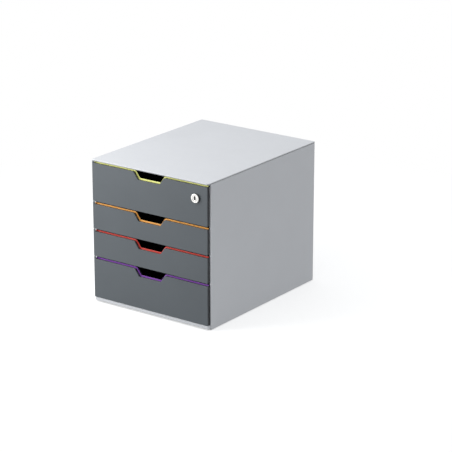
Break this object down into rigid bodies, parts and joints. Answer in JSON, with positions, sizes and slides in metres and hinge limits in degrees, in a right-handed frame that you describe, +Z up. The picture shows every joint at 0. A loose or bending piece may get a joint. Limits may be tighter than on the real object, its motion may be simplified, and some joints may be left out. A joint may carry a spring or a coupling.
{
  "type": "desktop file drawer",
  "caption": "Desktop cabinet of pull-out paper trays with finger notches, coloured edge strips and a cam lock on the top drawer.",
  "frame": {"origin": "middle of the footprint, on the surface the drawer unit stands on", "axes": "+X to the right across the fronts, +Y from the fronts to the back, +Z up"},
  "size_m": [0.28, 0.3606, 0.292],
  "materials": {
    "housing": "satin light grey",
    "tray_plastic": "satin anthracite",
    "front_plastic": "satin anthracite",
    "strip_lime": "satin lime yellow",
    "strip_orange": "satin orange",
    "strip_red": "satin red",
    "strip_purple": "satin purple",
    "lock_nickel": "nickel plated",
    "lock_zinc": "zinc plated",
    "foot_rubber": "matte black"
  },
  "bodies": {
    "cabinet": {"left_side_panel": "housing", "right_side_panel": "housing", "top_panel": "housing", "back_panel": "housing", "base_panel": "housing", "foot_front_left": "foot_rubber", "foot_front_right": "foot_rubber", "foot_rear_left": "foot_rubber", "foot_rear_right": "foot_rubber"},
    "drawer_1": {"tray_1": "tray_plastic", "front_1": "front_plastic", "accent_strip_1": "strip_lime", "lock_barrel": "lock_nickel", "lock_nut": "lock_zinc"},
    "drawer_2": {"tray_2": "tray_plastic", "front_2": "front_plastic", "accent_strip_2": "strip_orange"},
    "drawer_3": {"tray_3": "tray_plastic", "front_3": "front_plastic", "accent_strip_3": "strip_red"},
    "drawer_4": {"tray_4": "tray_plastic", "front_4": "front_plastic", "accent_strip_4": "strip_purple"},
    "lock": {"lock_plug": "lock_nickel", "lock_cam": "lock_zinc", "cam_screw": "lock_zinc"}
  },
  "joints": [
    {"name": "drawer_1_slide", "type": "slide", "parent": "cabinet", "child": "drawer_1", "axis": [0, -1, 0], "range_m": [0, 0.25]},
    {"name": "drawer_2_slide", "type": "slide", "parent": "cabinet", "child": "drawer_2", "axis": [0, -1, 0], "range_m": [0, 0.25]},
    {"name": "drawer_3_slide", "type": "slide", "parent": "cabinet", "child": "drawer_3", "axis": [0, -1, 0], "range_m": [0, 0.25]},
    {"name": "drawer_4_slide", "type": "slide", "parent": "cabinet", "child": "drawer_4", "axis": [0, -1, 0], "range_m": [0, 0.25]},
    {"name": "lock_turn", "type": "hinge", "parent": "drawer_1", "child": "lock", "pos_m": [0.1121, -0.17575, 0.2604], "axis": [0, 1, 0], "range_deg": [0, 90]}
  ]
}
